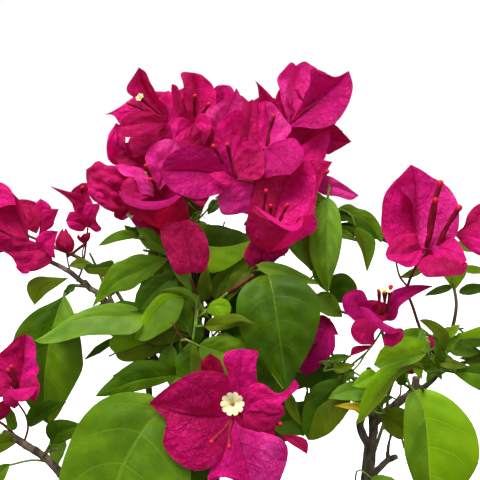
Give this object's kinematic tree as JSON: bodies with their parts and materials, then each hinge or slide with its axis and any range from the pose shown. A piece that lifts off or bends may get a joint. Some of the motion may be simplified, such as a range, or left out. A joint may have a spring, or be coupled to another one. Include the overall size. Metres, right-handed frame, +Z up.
{
  "type": "bougainvillea bush",
  "caption": "Young rooted bougainvillea bush: a short flared trunk, slender spreading boughs, ovate green leaves and dense clusters of magenta papery bracts.",
  "frame": {"origin": "middle of the flat cut under the trunk, at ground level", "axes": "+Z up along the trunk, +X to the bush's right as seen from its front, -Y to the front where the largest bloom hangs"},
  "size_m": [0.246, 0.1848, 0.3606],
  "materials": {
    "bark": "rough grey-brown bark on the trunk and boughs",
    "leaf": "soft satin green leaf",
    "bract": "matt, papery, finely crinkled magenta bract"
  },
  "bodies": {
    "root": {"trunk": "bark", "bough_back_left": "bark", "bough_back_right": "bark", "bough_centre": "bark", "bough_front": "bark", "bough_left_low": "bark", "bough_right": "bark", "limb_left_high": "bark", "limb_right_high": "bark", "stalk_left_low": "bark", "stalk_right": "bark", "stub_right": "bark", "bloom_back_a": "bract", "bloom_back_b": "bract", "bloom_back_c": "bract", "bloom_back_d": "bract", "bloom_centre": "bract", "bloom_front": "bract", "bloom_left_a": "bract", "bloom_left_b": "bract", "bloom_left_low": "bract", "bloom_mid_right": "bract", "bloom_right_a": "bract", "bloom_right_b": "bract", "bloom_top_a": "bract", "bloom_top_b": "bract", "bloom_top_c": "bract", "bloom_top_d": "bract", "bloom_top_e": "bract", "bloom_top_f": "bract", "bloom_top_g": "bract", "bloom_top_h": "bract", "bloom_top_i": "bract", "bloom_top_j": "bract", "bloom_top_k": "bract", "leaves_back_centre": "leaf", "leaves_back_left": "leaf", "leaves_back_right": "leaf", "leaves_back_top": "leaf", "leaves_centre": "leaf", "leaves_centre_front": "leaf", "leaves_centre_right": "leaf", "leaves_front_left": "leaf", "leaves_heart": "leaf", "leaves_left_hanging": "leaf", "leaves_left_inner": "leaf", "leaves_left_mid": "leaf", "leaves_left_top": "leaf", "leaves_low_back": "leaf", "leaves_low_front": "leaf", "leaves_low_left": "leaf", "leaves_low_right": "leaf", "leaves_low_side": "leaf", "leaves_right_big": "leaf", "leaves_right_far": "leaf", "leaves_right_front": "leaf", "leaves_right_tip": "leaf", "leaves_right_top": "leaf", "leaves_skirt_back": "leaf", "leaves_skirt_front": "leaf"}
  },
  "joints": []
}
